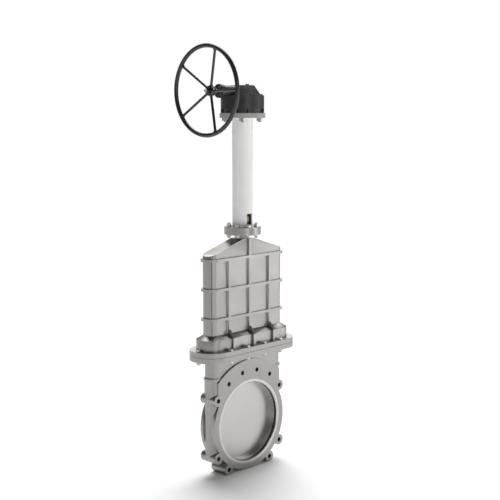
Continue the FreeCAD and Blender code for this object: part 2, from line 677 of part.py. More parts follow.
def stuffing_box():
    ring("rod_guide_bush", "rod_dia + 2 * rod_gap", "rod_dia + 10", "bush_low + 5", "box_floor")
    size, low = value("packing_size"), value("box_floor")
    inner, outer = value("rod_dia / 2"), value("box_dia / 2")
    rings = []
    for step in range(GLAND_RINGS):
        cord = Part.makeCylinder(outer, size - 0.1, V(0, 0, low + step * size), STEM_AXIS)
        core = Part.makeCylinder(inner + 0.05, size + 2, V(0, 0, low + step * size - 1), STEM_AXIS)
        rings.append(cord.cut(core))
    coded_part("packing_rings", Part.makeCompound(rings))
    rise = f"box_floor + {GLAND_RINGS} * packing_size"
    gland = new_body("gland_follower")
    inner = "rod_dia / 2 + 0.1"
    nose, flange = "box_dia / 2 - 0.2", "box_dia / 2 + 10"
    under, top = "neck_top + gland_rise", "neck_top + gland_rise + gland_thick"
    turn(gland, [(nose, rise), (nose, under), (flange, under), (flange, top), (inner, top), (inner,
                                                                                             rise)])
    studs = [(x, "0", "gland_stud_dia / 2 + 0.3") for x in ("-gland_stud_out", "gland_stud_out")]
    cut_circles(gland, "XY_Plane", studs, "20", (0, 0, f"{top} + 1"))
    size, rise = value("gland_stud_dia"), value("gland_rise + gland_thick")
    places = [V(side * value("gland_stud_out"), 0, value("neck_top")) for side in (-1, 1)]
    bar = Part.makeCylinder(size / 2, 34, V(0, 0, -11), STEM_AXIS)
    group("gland_studs", bar, places)
    group("gland_nuts", hex_nut(size), [place + V(0, 0, rise) for place in places])


# ---------------------------------------------------------------- pillar


def pillar():
    foot = new_body("pillar_foot_flange")
    tube, bore = "pillar_dia / 2", "pillar_dia / 2 - pillar_wall"
    turn(foot, [("neck_flange_dia / 2", "neck_top"), ("neck_flange_dia / 2", "neck_top + foot_thick"),
                (tube, "neck_top + foot_thick"), (tube, "neck_top + tube_step"),
                (bore, "neck_top + tube_step"), (bore, "neck_top")])
    holes = circles_on("neck_bolt_circle", NECK_BOLT_ANGLES, "neck_hole_dia / 2")
    cut_circles(foot, "XY_Plane", holes, "foot_thick + 2", (0, 0, "neck_top + foot_thick + 1"))

    column = new_body("pillar_tube")
    low = "neck_top + tube_step"
    turn(column, [(tube, low), (tube, "pillar_top"), (bore, "pillar_top"), (bore, low)])
    window = rectangle("-window_width / 2", "window_width / 2", "window_low", "window_low + window_tall")
    cut_outline(column, "XZ_Plane", window, "pillar_dia", (0, 0, "0"), reverse=True)

    plate = new_body("pillar_head_plate")
    turn(plate, [("plate_dia / 2", "pillar_top"), ("plate_dia / 2", "pillar_top + plate_thick"),
                 ("spindle_dia / 2 + 4", "pillar_top + plate_thick"),
                 ("spindle_dia / 2 + 4", "pillar_top")])
    holes = circles_on("operator_bolt_circle", OPERATOR_BOLT_ANGLES, "operator_hole_dia / 2")
    cut_circles(plate, "XY_Plane", holes, "plate_thick + 2", (0, 0, "pillar_top + plate_thick + 1"))

    # studs with a nut at each end
    size = value("neck_bolt_dia")
    top, low = value("neck_top + foot_thick"), value("neck_flange_low") - NUT_TALL * size
    places = around("neck_bolt_circle", NECK_BOLT_ANGLES)
    group("pillar_bolts", stud(size, low - STUD_TIP, top + NUT_TALL * size + STUD_TIP), places)
    group("pillar_nuts", hex_nut(size),
          [place + V(0, 0, height) for place in places for height in (low, top)])


# ---------------------------------------------------------------- gear operator

COVER_SCREW_ANGLES = (22.5, 67.5, 112.5, 247.5, 292.5, 337.5)
CAP_SCREW_ANGLES = (45, 135, 225, 315)
FOOT_CORNERS = (45, 225)
FOOT_GAPS = ((9, 15), (33, 80))
SECTOR_STEPS = 4


def sector(first, last, inner, outer):
    """Piece of a ring between two angles, with straight sides and the arcs as chords."""
    steps = [first + (last - first) * part / SECTOR_STEPS for part in range(SECTOR_STEPS + 1)]
    corners = [(f"({outer}) * cos({angle})", f"({outer}) * sin({angle})") for angle in steps]
    corners += [(f"({inner}) * cos({angle})", f"({inner}) * sin({angle})") for angle in reversed(steps)]
    return corners


def gear_housing():
    housing = new_body("gear_housing")
    outer, floor = "housing_dia / 2", "pillar_top + plate_thick"
    inner, seal = "housing_dia / 2 - housing_wall", "spindle_dia / 2 + 6"
    base = f"{floor} + housing_floor"
    turn(housing, [(outer, floor), (outer, "housing_top"), (inner, "housing_top"), (inner, base),
                   (seal, base), (seal, floor)])
    # the housing stands on feet, with narrow and wide gaps between them beside two of its bolts
    gap_top = f"{floor} + foot_gap_tall"
    for corner in FOOT_CORNERS:
        for first, last in FOOT_GAPS:
            for side in (1, -1):
                ends = (corner + side * first, corner + side * last)
                outline = sector(*ends, "foot_gap_radius", "housing_dia / 2 + 4")
                cut_outline(housing, "XY_Plane", outline, "foot_gap_tall", (0, 0, gap_top))
    holes = circles_on("operator_bolt_circle", OPERATOR_BOLT_ANGLES, "operator_bolt_dia / 2")
    cut_circles(housing, "XY_Plane", holes, "housing_floor - 1", (0, 0, floor), reverse=True)
    screws = circles_on("cover_screw_circle", COVER_SCREW_ANGLES, "cover_screw_dia / 2")
    cut_circles(housing, "XY_Plane", screws, "14", (0, 0, "housing_top"))
    bore, under, over = "spindle_dia / 2 + 0.05", f"{floor} + 1", f"{floor} + 9"
    turned("spindle_seal", [(seal, under), (seal, over), (bore, over), (bore, under)])
    size = value("operator_bolt_dia")
    low = value("pillar_top") - NUT_TALL * size
    high = value(f"{floor} + housing_floor") - 3
    places = around("operator_bolt_circle", OPERATOR_BOLT_ANGLES)
    group("operator_bolts", stud(size, low - STUD_TIP, high), places)
    group("operator_nuts", hex_nut(size), [place + V(0, 0, low) for place in places])


def gear_cover():
    low = "(housing_top + cover_gasket_thick)"
    gasket = ring("cover_gasket", "housing_dia - 2 * housing_wall", "housing_dia", "housing_top", low)
    screws = circles_on("cover_screw_circle", COVER_SCREW_ANGLES, "cover_screw_dia / 2 + 0.1")
    cut_circles(gasket, "XY_Plane", screws, "2", (0, 0, f"{low} + 0.6"))
    cover = new_body("gear_cover")
    rim = f"({low} + cover_rim)"
    turn(cover, [("0", low), ("housing_dia / 2", low), ("housing_dia / 2", rim),
                 ("cover_base_dia / 2", rim),
                 ("cover_crown_dia / 2", "cover_top"), ("0", "cover_top")])
    # the arm that carries the handwheel shaft, with the flange for its end cap
    arm = [("-20", "0"), ("-20", "pinion_tube_dia / 2"), ("-pinion_tube_end + 8", "pinion_tube_dia / 2"),
           ("-pinion_tube_end + 8", "end_cap_dia / 2"), ("-pinion_tube_end", "end_cap_dia / 2"),
           ("-pinion_tube_end", "0")]
    turn(cover, arm, "X", "pinion_height")
    inner = "housing_dia / 2 - housing_wall"
    cavity = [("race_dia / 2", f"{low} - 1"), (inner, f"{low} - 1"), (inner, f"{rim} - 4"),
              ("cover_base_dia / 2 - 6", f"{rim} + 1"),
              ("cover_crown_dia / 2 - 3", "cover_top - cover_wall"),
              ("race_dia / 2 - 3", "cover_top - cover_wall"), ("race_dia / 2 - 3", UPPER_RACE_TOP),
              ("race_dia / 2", UPPER_RACE_TOP)]
    turn(cover, cavity, kind="Groove")
    # room for the upper thrust bearing, the lock nut and the top bush inside the boss
    boss = [("0", f"{low} - 1"), ("race_dia / 2 + 0.5", f"{low} - 1"),
            ("race_dia / 2 + 0.5", UPPER_RACE_TOP),
            ("race_bore / 2", UPPER_RACE_TOP), ("race_bore / 2", TOP_BUSH_LOW),
            ("top_bush_dia / 2", TOP_BUSH_LOW),
            ("top_bush_dia / 2", TOP_BUSH_HIGH), ("0", TOP_BUSH_HIGH)]
    turn(cover, boss, kind="Groove")
    # room for the pinion, and the bore for the shaft's two bushes
    pinion = [("-35", "0"), ("-35", "21.9"), ("-61", "21.9"), ("-61", "shaft_bush_dia / 2"),
              ("-pinion_tube_end - 1", "shaft_bush_dia / 2"),
              ("-pinion_tube_end - 1", "0")]
    turn(cover, pinion, "X", "pinion_height", "Groove")
    cut_circles(cover, "XY_Plane", screws, "cover_rim + 2", (0, 0, f"{rim} + 1"))
    taps = circles_on("cap_screw_circle", CAP_SCREW_ANGLES, "cap_screw_dia / 2")
    taps = [(x, f"{y} + pinion_height", radius) for x, y, radius in taps]
    cut_circles(cover, "YZ_Plane", taps, "8", (0, 0, "-pinion_tube_end"), reverse=True)
    cut_circles(cover, "XY_Plane", [("plug_out", "0", "plug_dia / 2")], "cover_wall + 2",
                (0, 0, "cover_top + 1"))

    rim_top = value(rim)
    places = [place + V(0, 0, rim_top) for place in around("cover_screw_circle", COVER_SCREW_ANGLES)]
    group("cover_screws", cap_screw(value("cover_screw_dia"), 16), places)
    plug = hexagon(14, 0, 6).fuse(Part.makeCylinder(value("plug_dia / 2"), 5, V(0, 0, -5), STEM_AXIS))
    group("oil_plug", plug.removeSplitter(), [V(value("plug_out"), 0, value("cover_top"))])


def shaft_supports():
    """Bushes, cap and seal of the handwheel shaft in the arm of the cover."""
    bore = "shaft_dia + 0.1"
    shaft_ring("inner_shaft_bush", bore, "shaft_bush_dia", "64", "80")
    shaft_ring("outer_shaft_bush", bore, "shaft_bush_dia", "pinion_tube_end - 22", "pinion_tube_end - 6")
    near, far = "-pinion_tube_end", "-pinion_tube_end - end_cap_thick"
    cap = new_body("shaft_end_cap")
    turn(cap, [(near, "12"), (near, "end_cap_dia / 2"), (far, "end_cap_dia / 2"), (far, "18"),
               (f"{far} - 4", "16"), (f"{far} - 4", "shaft_seal_dia / 2"),
               (f"{far} + 1", "shaft_seal_dia / 2"), (f"{far} + 1", "12")], "X", "pinion_height")
    holes = circles_on("cap_screw_circle", CAP_SCREW_ANGLES, "cap_screw_dia / 2 + 0.2")
    holes = [(x, f"{y} + pinion_height", radius) for x, y, radius in holes]
    cut_circles(cap, "YZ_Plane", holes, "end_cap_thick + 8",
                (0, 0, "-pinion_tube_end - end_cap_thick - 4"), reverse=True)
    front = "pinion_tube_end + end_cap_thick"
    shaft_ring("shaft_seal", bore, "shaft_seal_dia", f"{front} - 1", f"{front} + 3")
    ring_places = around("cap_screw_circle", CAP_SCREW_ANGLES)
    face = -value("pinion_tube_end + end_cap_thick")
    places = [V(face, place.x, place.y + value("pinion_height")) for place in ring_places]
    group("end_cap_screws", cap_screw(value("cap_screw_dia"), 14), places, SHAFT_AXIS)


# ---------------------------------------------------------------- bevel gears

PRESSURE_ANGLE = 20.0
ADDENDUM = 0.8
DEDENDUM = 1.1
TOOTH_ROOT = 0.6
FOOT_MARGIN = 0.5


def tooth_section(teeth, cone):
    """Half width of a tooth at five heights over its pitch line, on the back cone, with involute flanks."""
    module = value("gear_module")
    pitch = module * teeth / 2 / math.cos(cone)
    base = pitch * math.cos(math.radians(PRESSURE_ANGLE))
    thick = math.pi * module / 2 - value("tooth_backlash")

    def involute(radius):
        angle = math.acos(min(1.0, base / radius))
        return math.tan(angle) - angle

    section = []
    for rise in (-DEDENDUM, -DEDENDUM / 2, 0, ADDENDUM / 2, ADDENDUM):
        radius = pitch + rise * module
        turn_angle = thick / 2 / pitch + involute(pitch) - involute(max(radius, base))
        section.append((radius * math.sin(turn_angle), radius * math.cos(turn_angle) - pitch))
    return section


def bevel_gear(teeth, mating_teeth, inside):
    """A bevel gear about +Z with its apex at the origin, its teeth below it and one tooth towards +X.

    inside(near, back) gives the rest of its half section, from the small end to the large end.
    Every line of a straight bevel tooth runs to the apex, so a tooth is its large section and the
    same section scaled towards the apex, joined by ruled faces.
    """
    module = value("gear_module")
    cone = math.atan2(teeth, mating_teeth)
    slant = module * teeth / 2 / math.sin(cone)
    scale = 1 - value("tooth_face") / slant
    section = tooth_section(teeth, cone)
    half, foot = section[0]

    def on_back_cone(angle, across, rise):
        out = V(math.cos(angle), math.sin(angle), 0)
        sideways = V(-math.sin(angle), math.cos(angle), 0)
        along = out * math.sin(cone) - STEM_AXIS * math.cos(cone)
        upwards = out * math.cos(cone) + STEM_AXIS * math.sin(cone)
        return along * slant + upwards * rise + sideways * across

    edge = on_back_cone(0, 0, foot)
    back = on_back_cone(0, 0, foot - 1.6 * module)
    near = edge * (scale - FOOT_MARGIN / slant)
    outline = [edge, near] + [V(radius, 0, height) for radius, height in inside(near, back)] + [back,
                                                                                                edge]
    blank = Part.Face(Part.makePolygon(outline)).revolve(ORIGIN, STEM_AXIS, 360)
    if blank.Volume < 0:
        blank.reverse()
    shapes = []
    for step in range(teeth):
        angle = 2 * math.pi * step / teeth
        # the lowest flank runs on into the blank, so the two cross cleanly at the tooth's foot
        points = [on_back_cone(angle, -half, foot - TOOTH_ROOT)]
        points += [on_back_cone(angle, -across, rise) for across, rise in section[1:]]
        points += [on_back_cone(angle, across, rise) for across, rise in reversed(section[1:])]
        points += [on_back_cone(angle, half, foot - TOOTH_ROOT)]
        large = Part.makePolygon(points + points[:1])
        small = Part.makePolygon([point * scale for point in points + points[:1]])
        shapes.append(Part.makeLoft([large, small], True, True))
    return blank.multiFuse(shapes)


def bevel_wheel():
    """The large bevel gear, with a hub that is keyed to the spindle between the thrust bearings."""
    hub, bore = value("race_dia / 2"), value("spindle_dia / 2") + 0.02
    low, high = value(f"{WHEEL_LOW} - pinion_height"), value(f"{WHEEL_HIGH} - pinion_height")

    def inside(near, back):
        web = back.z - 6
        return [(near.x, high), (bore, high), (bore, low), (hub, low), (hub, web), (back.x - 4, web),
                (back.x - 4, back.z)]

    toothed = bevel_gear(int(value("wheel_teeth")), int(value("pinion_teeth")), inside)
    keyway = Part.makeBox(4, 8, high - low + 2, V(bore - 1, -4, low - 1))
    shape = toothed.cut(keyway)
    shape.translate(V(0, 0, value("pinion_height")))
    return coded_part("bevel_wheel", shape)


def pinion_gear():
    """The small bevel gear, keyed to the handwheel shaft, with one tooth down in a gap of the wheel."""
    bore = PINION_SEAT + 0.02

    def inside(near, back):
        return [(bore, near.z), (bore, back.z - 2), (back.x, back.z - 2)]

    toothed = bevel_gear(int(value("pinion_teeth")), int(value("wheel_teeth")), inside)
    keyway = Part.makeBox(2.2, 4, 60, V(PINION_SEAT - 1, -2, -80))
    shape = toothed.cut(keyway)
    # the gear's own +Z turns to +X, and its +X, where the first tooth is, turns down
    shape.rotate(ORIGIN, V(0, 1, 0), 90)
    shape.translate(V(0, 0, value("pinion_height")))
    return coded_part("pinion_gear", shape)


# ---------------------------------------------------------------- spindle and its bearings

PINION_SEAT = 8.0
BALL_COUNT = 16
FLOOR = "(pillar_top + plate_thick + housing_floor)"
BEARING_TALL = "(2 * race_thick + ball_dia + 2 * ball_gap)"
WHEEL_LOW = f"({FLOOR} + {BEARING_TALL})"
WHEEL_HIGH = f"({WHEEL_LOW} + wheel_hub_tall)"
UPPER_RACE_TOP = f"({WHEEL_HIGH} + {BEARING_TALL})"
TOP_BUSH_LOW = "(cover_top - 26)"
TOP_BUSH_HIGH = "(cover_top - 6)"


def spindle():
    bar = new_body("spindle")
    full, collar, tip = "spindle_dia / 2", "race_bore / 2 - 1", "spindle_tip_dia / 2"
    collar_low, thread_top, top = f"{FLOOR} + 1", f"{WHEEL_HIGH} + 10", "cover_top - 8"
    turn(bar, [("0", "spindle_low"), (f"{full} - 2", "spindle_low"), (full, "spindle_low + 2"),
               (full, collar_low), (collar, collar_low), (collar, WHEEL_LOW), (full, WHEEL_LOW),
               (full, thread_top), (tip, thread_top), (tip, top), ("0", top)])
    keyway = rectangle("spindle_dia / 2 - 4", "spindle_dia / 2 + 1", "-4", "4")
    cut_outline(bar, "XY_Plane", keyway, "key_long", (0, 0, f"{WHEEL_HIGH} - 2"))
    long, low, out = value("key_long"), value(f"{WHEEL_HIGH} - 2 - key_long"), value("spindle_dia / 2")
    coded_part("spindle_key", Part.makeBox(6.9, 7.9, long - 0.1, V(out - 3.95, -3.95, low + 0.05)))
    nut = new_body("spindle_lock_nut")
    turn(nut, [("spindle_dia / 2 + 0.02", WHEEL_HIGH), ("race_bore / 2 - 1", WHEEL_HIGH),
               ("race_bore / 2 - 1", f"{WHEEL_HIGH} + 9"),
               ("spindle_dia / 2 + 0.02", f"{WHEEL_HIGH} + 9")])
    ring("spindle_top_bush", "spindle_tip_dia + 0.1", "top_bush_dia", TOP_BUSH_LOW, TOP_BUSH_HIGH)


def thrust_bearings():
    """Two ball thrust bearings, one under and one over the hub of the bevel wheel."""
    outer, inner, thick = value("race_dia / 2"), value("race_bore / 2"), value("race_thick")
    ball, tall = value("ball_dia / 2"), value(BEARING_TALL)
    lows = {"lower": value(FLOOR), "upper": value(WHEEL_HIGH)}

    def race(height):
        washer = Part.makeCylinder(outer, thick, V(0, 0, height), STEM_AXIS)
        return washer.cut(Part.makeCylinder(inner, thick * 3, V(0, 0, height - thick), STEM_AXIS))

    coded_part("fixed_races", Part.makeCompound([race(lows["lower"]),
                                                 race(lows["upper"] + tall - thick)]))
    coded_part("turning_races", Part.makeCompound([race(lows["lower"] + tall - thick),
                                                   race(lows["upper"])]))
    places = around("(race_dia + race_bore) / 2", even_angles(BALL_COUNT, 0))
    balls = []
    cages = []
    for low in lows.values():
        middle = low + tall / 2
        balls += [Part.makeSphere(ball, place + V(0, 0, middle)) for place in places]
        plate = Part.makeCylinder(outer - 0.5, 3, V(0, 0, middle - 1.5), STEM_AXIS)
        plate = plate.cut(Part.makeCylinder(inner + 0.5, 9, V(0, 0, middle - 4), STEM_AXIS))
        pockets = [Part.makeCylinder(ball + 0.15, 9, place + V(0, 0, middle - 4),
                                     STEM_AXIS) for place in places]
        cages.append(plate.cut(pockets))
    coded_part("bearing_balls", Part.makeCompound(balls))
    coded_part("bearing_cages", Part.makeCompound(cages))


# ---------------------------------------------------------------- gate, rod and travelling nut


def gate_plate():
    plate = new_body("gate_plate")
    outline = [("gate_radius", "gate_top"), ("-gate_radius", "gate_top"), ("-gate_radius", "0"),
               ("0", "-gate_radius", "gate_radius"), ("gate_radius", "0", "gate_radius")]
    pad_outline(plate, "XZ_Plane", outline, "gate_thick", symmetric=True)
    cut_circles(plate, "XZ_Plane", clevis_holes(), "gate_thick + 2", symmetric=True)


CLEVIS_TOP = "(gate_top + 44)"


def clevis_holes():
    radius = "clevis_bolt_dia / 2 + 0.2"
    return [(x, "gate_top - clevis_bolt_drop", radius) for x in ("-clevis_bolt_out", "clevis_bolt_out")]


def gate_clevis():
    """Fork that grips the top edge of the gate, with a socket for the lifting rod."""
    fork = new_body("gate_clevis")
    block = rectangle("-44", "44", "gate_top - 36", "gate_top + 14")
    pad_outline(fork, "XZ_Plane", block, "gate_thick + 2 * clevis_cheek", symmetric=True)
    pad_circles(fork, "XY_Plane", [("0", "0", "rod_dia / 2 + 6")], f"{CLEVIS_TOP} - gate_top",
                (0, 0, "gate_top"))
    cheek = rectangle("-45", "45", "gate_top - 37", "gate_top")
    cut_outline(fork, "XZ_Plane", cheek, "gate_thick", symmetric=True)
    cut_circles(fork, "XY_Plane", [("0", "0", "rod_dia / 2")], "rod_socket", (0, 0, CLEVIS_TOP))
    cut_circles(fork, "XZ_Plane", clevis_holes(), "gate_thick + 30", symmetric=True)
    size, half = value("clevis_bolt_dia"), value("gate_thick / 2 + clevis_cheek")
    height = value("gate_top - clevis_bolt_drop")
    places = [V(side * value("clevis_bolt_out"), -half, height) for side in (-1, 1)]
    group("clevis_bolts", hex_bolt(size, 2 * half + size), places, V(0, -1, 0))
    group("clevis_nuts", hex_nut(size), [place + V(0, 2 * half, 0) for place in places], V(0, 1, 0))


def lifting_rod():
    """A hollow rod that stands in the fork, with the spindle's nut on its upper end."""
    low, top, plug = f"({CLEVIS_TOP} - rod_socket)", "nut_low + nut_seat", 30
    rod = new_body("lifting_rod")
    turn(rod, [("rod_dia / 2", low), ("rod_dia / 2", top), ("rod_bore / 2", top),
               ("rod_bore / 2", f"{low} + {plug}"), ("0", f"{low} + {plug}"), ("0", low)])
    nut = new_body("travelling_nut")
    bore, outer, waist = "spindle_dia / 2 + 0.05", "nut_dia / 2", "nut_dia / 2 - 8"
    turn(nut, [("rod_dia / 2", "nut_low"), (outer, "nut_low"), (outer, "nut_low + 24"),
               (waist, "nut_low + 26"), (waist, "nut_low + nut_tall"), (bore, "nut_low + nut_tall"),
               (bore, top), ("rod_dia / 2", top)])


# ---------------------------------------------------------------- handwheel

HUB_SEAT = 9.0


def handwheel():
    rim_radius, bar = value("rim_dia / 2"), value("rim_section / 2")
    centre = V(-value("rim_out"), 0, value("pinion_height"))
    hub_centre = V(-value("hub_out"), 0, value("pinion_height"))
    rim = new_body("handwheel_rim")
    section = new_sketch(rim, "XZ_Plane", (0, "pinion_height", 0))
    add_circle(section, "-rim_out", "rim_dia / 2", "rim_section / 2")
    revolve(rim, section, "H_Axis")
    half = value("hub_long / 2")
    hub_solid = Part.makeCylinder(value("hub_dia / 2"), 2 * half, hub_centre - SHAFT_AXIS * half,
                                  SHAFT_AXIS)
    rim_solid = Part.makeTorus(rim_radius, bar, centre, SHAFT_AXIS)
    spokes = []
    for angle in even_angles(int(value("spoke_count")), 0):
        # the first spoke points towards -Y
        out = V(0, -math.cos(math.radians(angle)), math.sin(math.radians(angle)))
        way = centre + out * rim_radius - hub_centre
        spoke = Part.makeCylinder(value("spoke_dia / 2"), way.Length, hub_centre, way)
        spokes.append(spoke.cut([hub_solid, rim_solid]))
    coded_part("handwheel_spokes", Part.makeCompound(spokes))
    near, far = "-(hub_out - hub_long / 2)", "-(hub_out + hub_long / 2)"
    hub = new_body("handwheel_hub")
    bore = f"{HUB_SEAT} + 0.02"
    outer = "hub_dia / 2"
    turn(hub, [(near, bore), (near, f"{outer} - 2"), (f"{near} - 2", outer), (f"{far} + 2", outer),
               (far, f"{outer} - 2"), (far, bore)], "X", "pinion_height")
    keyway = rectangle(f"{far} - 1", f"{near} + 1", f"pinion_height + {HUB_SEAT} - 1",
                       f"pinion_height + {HUB_SEAT} + 2.5")
    cut_outline(hub, "XZ_Plane", keyway, "6", symmetric=True)


def pinion_shaft():
    shaft = new_body("pinion_shaft")
    full = "shaft_dia / 2"
    inner, seat_end = "-38", "-61"
    hub_near, tip = "-(hub_out - hub_long / 2)", "-(hub_out + hub_long / 2 + 20)"
    nut_seat = "-(hub_out + hub_long / 2)"
    turn(shaft, [(inner, "0"), (inner, str(PINION_SEAT)), (seat_end, str(PINION_SEAT)), (seat_end,
                                                                                         full),
                 (hub_near, full),
                 (hub_near, str(HUB_SEAT)), (nut_seat, str(HUB_SEAT)), (nut_seat, "6"), (tip, "6"),
                 (tip, "0")],
         "X", "pinion_height")
    # keyways: on top for the handwheel, underneath for the pinion
    on_top = rectangle(f"{nut_seat} + 3", f"{hub_near} - 3", f"pinion_height + {HUB_SEAT} - 3",
                       f"pinion_height + {HUB_SEAT} + 2")
    cut_outline(shaft, "XZ_Plane", on_top, "6", symmetric=True)
    under = rectangle(f"{seat_end} + 1", "-46", f"pinion_height - {PINION_SEAT} - 2",
                      f"pinion_height - {PINION_SEAT} + 2")
    cut_outline(shaft, "XZ_Plane", under, "4", symmetric=True)
    height = value("pinion_height")
    left, right = value(f"{nut_seat} + 3"), value(f"{hub_near} - 3")
    hub_key = Part.makeBox(right - left, 5.96, 5.4, V(left, -2.98, height + HUB_SEAT - 3))
    left, right = value(f"{seat_end} + 1"), -46
    pinion_key = Part.makeBox(right - left, 3.96, 3.1, V(left, -1.98, height - PINION_SEAT - 1.1))
    coded_part("shaft_keys", Part.makeCompound([hub_key, pinion_key]))


def wheel_fastenings():
    tip = -value("hub_out + hub_long / 2")
    height = value("pinion_height")
    washer = Part.makeCylinder(14, 2.5, ORIGIN, STEM_AXIS).cut(Part.makeCylinder(6.05, 6, V(0, 0, -1),
                                                                                 STEM_AXIS))
    group("handwheel_washer", washer, [V(tip, 0, height)], SHAFT_AXIS)
    group("handwheel_nut", hex_nut(12), [V(tip - 2.5, 0, height)], SHAFT_AXIS)


# ---------------------------------------------------------------- assembly


def main():
    body_casting()
    seat("-1", "front")
    seat("1", "rear")
    gate_guides()
    bonnet_gasket()
    bonnet_casting()
    joint_fasteners()
    stuffing_box()
    pillar()
    gear_housing()
    gear_cover()
    shaft_supports()
    bevel_wheel()
    pinion_gear()
    spindle()
    thrust_bearings()
    gate_plate()
    gate_clevis()
    lifting_rod()
    handwheel()
    pinion_shaft()
    wheel_fastenings()
    for part in sub_parts:
        part.setExpression(".Placement.Base.z", bound(RISE))
    doc.recompute()
    broken = [item.Label for item in doc.Objects if {"Invalid", "Error"} & set(item.State)]
    empty = [part.Label for part in sub_parts if part.Shape.isNull() or not part.Shape.isValid()]
    if broken or empty:
        raise RuntimeError(f"failed features {broken}, bad shapes {empty}")
    os.makedirs("parts", exist_ok=True)
    for part in sub_parts:
        part.Shape.exportStep(f"parts/{part.Label}.step")
    print(len(sub_parts), "sub-parts")


main()
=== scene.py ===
"""Looks of a bonneted knife gate valve with a bevel gear operator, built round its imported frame."""

import json
import math

import bmesh
import bpy
from mathutils import Matrix, Vector, noise


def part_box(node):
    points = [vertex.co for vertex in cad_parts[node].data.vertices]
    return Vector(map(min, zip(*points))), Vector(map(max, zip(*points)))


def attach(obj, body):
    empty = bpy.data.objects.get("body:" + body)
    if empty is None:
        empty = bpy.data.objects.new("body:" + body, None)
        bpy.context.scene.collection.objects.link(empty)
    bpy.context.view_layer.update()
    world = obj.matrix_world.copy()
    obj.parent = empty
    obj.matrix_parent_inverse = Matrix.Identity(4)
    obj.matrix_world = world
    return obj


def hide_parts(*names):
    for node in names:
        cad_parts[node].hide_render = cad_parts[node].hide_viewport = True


MM = 0.001

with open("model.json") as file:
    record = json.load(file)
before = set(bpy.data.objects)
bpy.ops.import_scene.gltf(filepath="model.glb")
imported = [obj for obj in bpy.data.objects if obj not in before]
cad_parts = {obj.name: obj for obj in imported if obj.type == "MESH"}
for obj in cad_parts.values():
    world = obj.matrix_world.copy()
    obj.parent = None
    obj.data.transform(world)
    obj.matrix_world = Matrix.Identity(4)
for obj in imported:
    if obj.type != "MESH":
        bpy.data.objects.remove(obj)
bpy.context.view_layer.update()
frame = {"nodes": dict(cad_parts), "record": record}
NODES = frame["nodes"]
RECORD = frame["record"]
BODY_OF = {node: body for body, names in RECORD["behaviour"]["bodies"].items() for node in names}
SLOT_OF = {part["node"]: part["material_slot"] for part in RECORD["subparts"]}
scene = bpy.context.scene

# ---------------------------------------------------------------- materials


